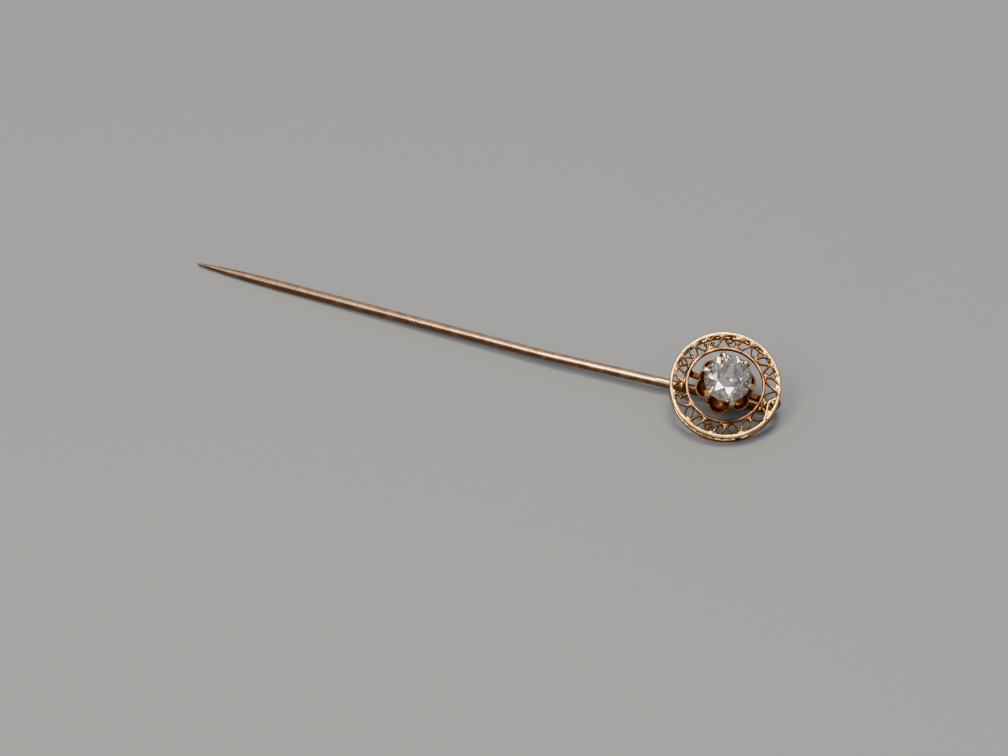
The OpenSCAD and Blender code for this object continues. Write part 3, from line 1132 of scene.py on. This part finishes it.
@dataclass(kw_only=True)
class ScrollBand(SubAssembly):
    """The pierced band of fine scrolls, soldered to the rings at both edges."""

    gold: GoldFinish = BAND_GOLD
    thread_w: float = 0.19
    plate_t: float = 0.3
    set_back: float = 0.08
    leaf_sweep: float = 5.0
    # Shares of the band where the leaves reach into the rim and into the inner ring, and fork
    leaf_top: float = 1.06
    leaf_foot: float = 0.06
    leaf_fork: float = 0.2
    # A thread's girth in its waist, how much it swells at its ends, and a drop's thin end
    waist: float = 0.85
    swell: float = 0.6
    thin_end: float = 0.02
    curl_share: float = 0.58
    curl_r: float = 0.26
    grain: float = 0.04
    leaves: tuple[Leaf, ...] = (
        Leaf(12, 30, girth=1.25),
        Leaf(43, 59, girth=1.15),
        Leaf(75, 91, girth=1.1),
        Leaf(110, 129, True, 1.2),
        Leaf(144, 156),
        Leaf(176, 192, True, 1.2),
        Leaf(209, 228),
        Leaf(245, 257, girth=1.1),
        Leaf(274, 287, True, 1.2),
        Leaf(305, 322, girth=1.1),
        Leaf(342, 354, girth=1.2),
    )
    # Where solder and scrap have filled the piercing: first and last angle, share and girth
    clumps: tuple[tuple[float, float, float, float], ...] = (
        (31, 37, 0.22, 0.19),
        (121, 137, 0.14, 0.18),
        (166, 175, 0.1, 0.17),
        (192, 206, 0.32, 0.3),
        (280, 296, 0.2, 0.22),
        (337, 348, 0.16, 0.24),
        (346, 358, 0.3, 0.17),
    )
    # Short spurs on the inner ring: angle, share that they reach and lean in degrees
    spurs: tuple[tuple[float, float, float], ...] = (
        (124, 0.5, -1),
        (131, 0.6, 2),
        (157, 0.5, -2),
        (213, 0.6, 2),
        (319, 0.5, 3),
    )
    threads: list[bpy.types.Object] = field(default_factory=list)

    def build(self) -> bpy.types.Object:
        """Draws every thread, presses them flat and solders them together."""
        for number, leaf in enumerate(self.leaves):
            following = self.leaves[(number + 1) % len(self.leaves)].rim_angle
            after = following + (360 if number + 1 == len(self.leaves) else 0)
            self.draw_leaf(leaf, after)
        for clump in self.clumps:
            self.draw_hump(*clump)
        for angle, reach, lean in self.spurs:
            self.draw((angle, 0.0), (angle + lean, reach), 0.0, 1.5)
        pressed = join("threads", self.threads)
        middle = (0, 0, self.middle_z())
        depth = self.plate_t / self.thread_w
        resize(pressed, (1, 1, depth), middle)
        band = fuse("scroll_band", [pressed], self.grain, 2)
        roughen(band, depth=0.03, spread=0.5)
        take(band)
        bpy.ops.object.shade_smooth()
        return band

    def middle_z(self) -> float:
        """The height of the threads' middle."""
        return -self.set_back - self.plate_t / 2

    def at(self, angle: float, share: float) -> Vector:
        """A point of the band."""
        return around(self.sizes.across_band(share), angle, self.middle_z())

    def draw(
        self, start: tuple[float, float], end: tuple[float, float], bow: float, girth: float
    ) -> None:
        """Draws a thread that swells towards both ends.

        Args:
            start: Its first angle and share.
            end: Its last angle and share.
            bow: How far it bows to the rim, as a share of the band.
            girth: Its girth, as a share of the thread's.
        """
        steps = 14
        line, radii = [], []
        for i in range(steps + 1):
            s = i / steps
            angle = start[0] + (end[0] - start[0]) * s
            share = start[1] + (end[1] - start[1]) * s + bow * 4 * s * (1 - s)
            line.append(self.at(angle, share))
            radii.append(self.thread_w / 2 * girth * (self.waist + self.swell * (2 * s - 1) ** 2))
        self.threads.append(wire("thread", line, radii, 10))

    def draw_hump(self, start: float, end: float, share: float, girth: float) -> None:
        """Draws a long low drop of solder along a ring."""
        steps = 12
        line = [self.at(start + (end - start) * i / steps, share) for i in range(steps + 1)]
        radii = [self.thin_end + girth * math.sin(math.pi * i / steps) for i in range(steps + 1)]
        self.threads.append(wire("drop", line, radii, 10))

    def draw_curl(self, angle: float) -> None:
        """Draws a curl that hangs from the rim by a short tail.

        Args:
            angle: The angle of its middle.
        """
        turned = math.radians(angle)
        middle = self.at(angle, self.curl_share)
        line = [self.at(angle, self.leaf_top)]
        for degrees in range(10, 311, 15):
            way = turned + math.radians(degrees)
            line.append(middle + self.curl_r * Vector((math.cos(way), math.sin(way), 0)))
        radii = [self.thread_w / 2] * (len(line) - 2) + [self.thread_w * 0.6, self.thread_w * 0.5]
        self.threads.append(wire("curl", line, radii, 10))

    def draw_leaf(self, leaf: Leaf, after: float) -> None:
        """Draws the four threads of a pair of leaves, and the solder at their ends.

        Args:
            leaf: The pair of leaves.
            after: The angle where the next pair leaves the rim.
        """
        fork, top, foot = (leaf.ring_angle + 1, self.leaf_fork), self.leaf_top, self.leaf_foot
        fine, full = 0.9 * leaf.girth, 1.2 * leaf.girth
        self.draw((leaf.rim_angle - 1, top), (leaf.ring_angle - 2, foot), -0.36, full)
        self.draw((leaf.rim_angle + self.leaf_sweep, top), fork, 0.24, full)
        self.draw(fork, (after - self.leaf_sweep, top), 0.16, fine)
        self.draw((leaf.ring_angle + 4, foot), (after + 1, top), -0.38, fine)
        self.draw_hump(leaf.ring_angle - 7, leaf.ring_angle + 9, 0.08, 0.15 * leaf.girth)
        self.draw_hump(leaf.rim_angle - 8, leaf.rim_angle + 9, 0.97, 0.14)
        if leaf.has_curl:
            self.draw_curl(leaf.rim_angle - 8)


@dataclass(kw_only=True)
class LoopedStrand(SubAssembly):
    """The thick bright strand that loops in from the rim beside the neck."""

    gold: GoldFinish = RIM_GOLD
    height: float = -0.08
    flat: float = 0.7
    grain: float = 0.035
    # The strand's way: angle, share of the band and radius
    way: tuple[tuple[float, float, float], ...] = (
        (334, 1.06, 0.2),
        (338, 0.96, 0.19),
        (341, 0.88, 0.17),
        (345, 0.75, 0.15),
        (349, 0.63, 0.14),
        (353, 0.56, 0.14),
        (357, 0.62, 0.13),
        (360, 0.8, 0.13),
        (363, 1.04, 0.17),
    )

    def build(self) -> bpy.types.Object:
        """Bends the strand and presses it a little flat."""
        line, radii = [], []
        for angle, share, radius in self.way:
            line.append(around(self.sizes.across_band(share), angle, self.height))
            radii.append(radius)
        strand = wire("looped_strand", smooth_line(line, 5), between(radii, 5), 16)
        resize(strand, (1, 1, self.flat), (0, 0, self.height))
        strand = fuse("looped_strand", [strand], self.grain, 2)
        roughen(strand, depth=0.03, spread=0.4)
        take(strand)
        bpy.ops.object.shade_smooth()
        return strand


@dataclass(kw_only=True)
class Gallery(SubAssembly):
    """The rear ring on its four posts, and the solder that holds the stem's neck."""

    gold: GoldFinish = GALLERY_GOLD
    posts: tuple[tuple[float, float], ...] = ((76, 0.5), (120, 0.5), (206, 0.34), (301, 0.34))
    # How a post spreads at both ends, and over what height
    spread: tuple[float, float, float] = (1.15, 1.5, 1.0)
    spread_h: float = 0.05
    grain: float = 0.045
    solder_r: float = 0.55
    solder_flat: float = 0.45
    solder_in: float = 0.12

    def build(self) -> bpy.types.Object:
        """Bends the ring, files the posts and solders them."""
        s = self.sizes
        bpy.ops.object.select_all(action="DESELECT")
        bpy.ops.mesh.primitive_torus_add(
            location=(0, 0, s.rear_z),
            major_segments=240,
            minor_segments=20,
            major_radius=s.rear_r,
            minor_radius=s.rear_wire_r,
        )
        parts = [bpy.context.object]
        parts += [self.post(angle, width) for angle, width in self.posts]
        parts.append(self.solder())
        gallery = fuse("gallery", parts, self.grain, 4)
        take(gallery)
        bpy.ops.object.shade_smooth()
        return gallery

    def post(self, angle: float, width: float) -> bpy.types.Object:
        """Makes a post that spreads at both ends.

        Args:
            angle: Its angle from the neck, in degrees.
            width: Its width.

        Returns:
            The post.
        """
        s = self.sizes
        top, foot = s.solder_sink - s.rim_h, s.rear_z
        size = Vector((s.rear_wire_r * 1.2, width, top - foot))
        made = block("post", Vector((s.rear_r, 0, (top + foot) / 2)), size)
        with editing(made):
            bpy.ops.mesh.select_all(action="SELECT")
            bpy.ops.mesh.subdivide(number_cuts=5)
            pick_corners(made, lambda at: not foot + self.spread_h <= at.z <= top - self.spread_h)
            bpy.ops.transform.resize(value=self.spread, center_override=(s.rear_r, 0, 0))
        turn(made, angle)
        return made

    def solder(self) -> bpy.types.Object:
        """Makes the drop of solder where the neck meets the rear ring."""
        neck = self.sizes.corners()[0]
        at = Vector((neck.x - self.solder_in, neck.y, self.sizes.rear_z))
        return ball("solder", at, self.solder_r, self.solder_flat)


@dataclass(kw_only=True)
class Bridge(SubAssembly):
    """The bar that crosses the opening behind the inner ring and carries the setting."""

    gold: GoldFinish = BRIDGE_GOLD
    rounding: float = 0.06
    solder_r: float = 0.42
    solder_flat: float = 0.35
    grain: float = 0.04

    def build(self) -> bpy.types.Object:
        """Files the bar and solders its ends."""
        s = self.sizes
        span = s.opening_r + s.inner_ring_w / 2
        middle = Vector((0, 0, s.bar_top - s.bar_h / 2))
        bar = block("bridge_bar", middle, Vector((2 * span, s.bar_w, s.bar_h)))
        edges = bar.modifiers.new("edges", "BEVEL")
        edges.width = self.rounding
        edges.segments = 3
        apply_modifiers(bar)
        with editing(bar):
            bpy.ops.mesh.select_all(action="SELECT")
            bpy.ops.mesh.subdivide(number_cuts=6)
        drops = [
            ball("solder", Vector((side * span, 0, s.bar_top)), self.solder_r, self.solder_flat)
            for side in (-1, 1)
        ]
        bar = fuse("bridge_bar", [bar, *drops], self.grain, 2)
        turn(bar, s.bar_turn)
        take(bar)
        bpy.ops.object.shade_smooth()
        return bar


@dataclass(kw_only=True)
class ClawSetting(SubAssembly):
    """The cast coronet: a cup of petals from which six claws rise and fold over the stone."""

    gold: GoldFinish = SETTING_GOLD
    node: str = "claw_setting"
    slot: Slot = Slot.YELLOW_GOLD
    claws: int = 6
    claw_w: float = 0.75
    claw_t: float = 0.42
    claw_reach: float = 0.58
    petal_r: float = 1.2
    petal_offset: float = 1.95
    petal_rim: float = 0.1
    cup_wall: float = 0.22
    stone_r: float = 2.45
    table_r: float = 1.25
    crown_h: float = 1.0
    girdle_up: float = 3.6
    claw_turn: float = -2.0
    lean: float = 7.5
    lean_toward: float = -72.0
    petal_sink: float = 0.1
    # Depth of the cup's foot and of its middle, as shares of a petal's radius
    foot_share: float = 0.5
    foot_down_share: float = 0.45
    stone_gap: float = 0.03
    half_girdle: float = 0.05
    pavilion_h: float = 2.1
    culet_r: float = 0.3
    slot_h: float = 4.0
    grain: float = 0.045
    cup_grain: float = 0.06

    @property
    def petal_z(self) -> float:
        """Height of the petals' middles."""
        return self.petal_rim - self.petal_sink

    def build(self) -> bpy.types.Object:
        """Casts the cup with its claws, and saws the slot for the bar."""
        setting = fuse("coronet", [self.cup(), *self.all_claws()], self.grain, 3)
        setting.matrix_world = self.leaning()
        take(setting)
        bpy.ops.object.transform_apply(location=True, rotation=True, scale=True)
        carve(setting, self.slot_cutter())
        shade_soft(setting, 50)
        return setting

    def leaning(self) -> Matrix:
        """The lean of the setting about its foot on the bar."""
        foot = Matrix.Translation((0, 0, self.sizes.bar_top))
        swing = Matrix.Rotation(math.radians(self.lean_toward), 4, "Z")
        tilt = Matrix.Rotation(math.radians(self.lean), 4, "Y")
        return foot @ swing @ tilt @ swing.inverted() @ foot.inverted()

    def petals(self, radius: float) -> list[bpy.types.Object]:
        """One ball in the place of each petal."""
        first = ball("petal", Vector((self.petal_offset, 0, self.petal_z)), radius)
        return copies_around(first, self.claws, self.claw_turn + 180 / self.claws)

    def cup(self) -> bpy.types.Object:
        """Makes the cup, closed below and open above."""
        bpy.ops.mesh.primitive_cylinder_add(
            vertices=96,
            radius=self.petal_offset,
            depth=self.petal_r * self.foot_share,
            location=(0, 0, self.petal_z - self.petal_r * self.foot_down_share),
        )
        foot = bpy.context.object
        outside = fuse("cup", [foot, *self.petals(self.petal_r)], self.cup_grain, 2)
        slice_off(outside, Vector((0, 0, self.petal_rim)), Vector((0, 0, 1)))
        inside = fuse("hollow", self.petals(self.petal_r - self.cup_wall), self.cup_grain, 2)
        carve(outside, inside)
        return outside

    def all_claws(self) -> list[bpy.types.Object]:
        """Makes one claw and sets its copies round the cup."""
        slope = self.crown_h / (self.stone_r - self.table_r)
        over = self.girdle_up + self.claw_reach * slope
        half = self.claw_t / 2
        line = [
            (self.petal_offset + 0.45, -self.petal_r * 0.6),
            (self.petal_offset + 0.58, -self.petal_r * 0.2),
            (self.stone_r + half * 0.9, self.petal_rim + 0.6),
            (self.stone_r + half * 1.0, self.girdle_up * 0.5),
            (self.stone_r + half * 1.15, self.girdle_up - 0.6),
            (self.stone_r + half * 1.0, self.girdle_up),
            (self.stone_r + half * 0.35, self.girdle_up + half * 1.3),
            (self.stone_r - self.claw_reach * 0.5, over - 0.5 * self.claw_reach * slope + 0.17),
            (self.stone_r - self.claw_reach, over + 0.1),
        ]
        girth = [1.0, 0.98, 0.92, 0.88, 0.88, 0.84, 0.74, 0.52, 0.26]
        smooth = smooth_line([Vector((x, 0, z)) for x, z in line], 5)
        radii = [half * g for g in between(girth, 5)]
        claw = wire("claw", smooth, radii, 16)
        resize(claw, (1, self.claw_w / self.claw_t, 1), (0, 0, 0))
        carve(claw, self.stone_space())
        return copies_around(claw, self.claws, self.claw_turn)

    def stone_space(self) -> bpy.types.Object:
        """The space that the stone needs, which is cut out of a claw."""
        radius, girdle = self.stone_r + self.stone_gap, self.girdle_up
        crown_top = girdle + self.half_girdle + self.crown_h + 2 * self.stone_gap
        cones = []
        for low, high, bottom, top in (
            (radius, self.table_r, girdle, crown_top),
            (self.culet_r, radius, girdle - self.pavilion_h, girdle),
        ):
            bpy.ops.mesh.primitive_cone_add(
                vertices=64,
                radius1=low,
                radius2=high,
                depth=top - bottom,
                location=(0, 0, (top + bottom) / 2),
            )
            cones.append(bpy.context.object)
        return join("stone_space", cones)

    def slot_cutter(self) -> bpy.types.Object:
        """The slot in the cup's foot, which sits over the bar."""
        s = self.sizes
        top = s.bar_top + s.seat_gap
        size = Vector((2 * s.disc_r, s.bar_w + 2 * s.seat_gap, self.slot_h))
        made = block("slot", Vector((0, 0, top - self.slot_h / 2)), size)
        turn(made, s.bar_turn)
        return made


@dataclass(frozen=True)
class CutStone:
    """The diamond, whose facets are the CAD node's own."""

    node: str = "diamond"
    finish: CutStoneFinish = CutStoneFinish()

    def dress(self) -> None:
        """Gives the stone its material."""
        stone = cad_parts[self.node]
        material = self.finish.make()
        if not stone.data.materials:
            stone.data.materials.append(material)
        for slot in stone.material_slots:
            slot.material = material
        LOG.info("%s: %d faces", self.node, len(stone.data.polygons))


# The studio


@dataclass(frozen=True)
class SoftLight:
    """A rectangular soft light, aimed at the pin."""

    name: str
    at: tuple[float, float, float]
    width: float
    depth: float
    watts: float
    tone: str = "#ffffff"

    def hang(self) -> None:
        """Adds the light."""
        bpy.ops.object.light_add(type="AREA", location=self.at)
        lamp = bpy.context.object
        lamp.name = self.name
        lamp.data.shape = "RECTANGLE"
        lamp.data.size = self.width
        lamp.data.size_y = self.depth
        lamp.data.energy = self.watts
        lamp.data.color = linear(self.tone)[:3]
        lamp.rotation_euler = (-Vector(self.at)).to_track_quat("-Z", "Y").to_euler()


@dataclass(frozen=True)
class Studio:
    """The pale floor, the soft lights and the camera at the angle of the photograph."""

    camera_at: tuple[float, float, float] = (0.099739, -0.228615, 0.20875)
    aimed_at: tuple[float, float, float] = (0.004656, -0.003697, 0.0)
    roll: float = 0.635
    lens: float = 109.64
    floor_side: float = 3.0
    surround: str = "#8a8c90"
    surround_strength: float = 1.0
    lights: tuple[SoftLight, ...] = (
        SoftLight("window", (0.024, -0.011, 0.6), 0.2, 0.2, 2.3, "#fff3da"),
        SoftLight("side_window", (-0.135, -0.37, 0.55), 0.15, 0.28, 2.0, "#fff3da"),
        SoftLight("low_window", (-0.24, -1.14, 0.25), 0.07, 0.07, 0.4, "#fff8ec"),
        SoftLight("near_window", (0.6, -1.04, 0.07), 0.07, 0.07, 0.4, "#fff8ec"),
        SoftLight("left_window", (-0.645, -0.515, 0.54), 0.07, 0.07, 0.1, "#fff8ec"),
        SoftLight("overhead", (0.05, -0.35, 0.8), 1.6, 1.6, 4.6),
        SoftLight("back_wall", (0.1, 0.9, 0.55), 1.3, 0.8, 0.9, "#e2efff"),
    )

    def set_up(self) -> None:
        """Lays the floor, hangs the lights and sets the camera."""
        self.lay_floor()
        self.set_surround()
        for light in self.lights:
            light.hang()
        self.set_camera()

    def lay_floor(self) -> None:
        """Lays the floor under the pin."""
        bpy.ops.mesh.primitive_plane_add(size=self.floor_side)
        floor = bpy.context.object
        floor.name = "floor"
        floor.data.materials.append(FloorFinish().make())

    def set_surround(self) -> None:
        """Sets the dim room round the studio."""
        world = bpy.data.worlds.new("room")
        world.use_nodes = True
        background = world.node_tree.nodes["Background"]
        background.inputs["Color"].default_value = linear(self.surround)
        background.inputs["Strength"].default_value = self.surround_strength
        bpy.context.scene.world = world

    def set_camera(self) -> None:
        """Sets the camera as the photograph was taken."""
        bpy.ops.object.camera_add(location=self.camera_at)
        camera = bpy.context.object
        camera.name = "camera"
        camera.data.lens = self.lens
        camera.data.clip_start = 0.01
        look = Vector(self.aimed_at) - Vector(self.camera_at)
        level = look.to_track_quat("-Z", "Y").to_matrix()
        rolled = level @ Euler((0, 0, math.radians(self.roll))).to_matrix()
        camera.rotation_euler = rolled.to_euler()
        bpy.context.scene.camera = camera


def main() -> None:
    """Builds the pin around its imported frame, sub-assembly by sub-assembly."""
    logging.basicConfig(level=logging.INFO, format="%(name)s: %(message)s")
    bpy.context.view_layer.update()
    sizes = PinSizes()
    laid = RestPose(sizes).matrix()
    Studio().set_up()
    for part in (
        Stem(sizes=sizes),
        FrontRing(
            sizes=sizes,
            gold=RIM_GOLD,
            name="rim",
            inner=sizes.band_out,
            outer=sizes.disc_r,
            depth=sizes.rim_h,
            rounding=0.13,
            drops=RIM_SOLDER,
            nicks=RIM_NICKS,
        ),
        FrontRing(
            sizes=sizes,
            gold=INNER_RING_GOLD,
            name="inner_ring",
            inner=sizes.opening_r,
            outer=sizes.band_in,
            depth=sizes.inner_ring_h,
            rounding=0.1,
        ),
        ScrollBand(sizes=sizes),
        LoopedStrand(sizes=sizes),
        Gallery(sizes=sizes),
        Bridge(sizes=sizes),
        ClawSetting(sizes=sizes),
    ):
        part.make(laid)
    CutStone().dress()


if __name__ == "__main__":
    main()
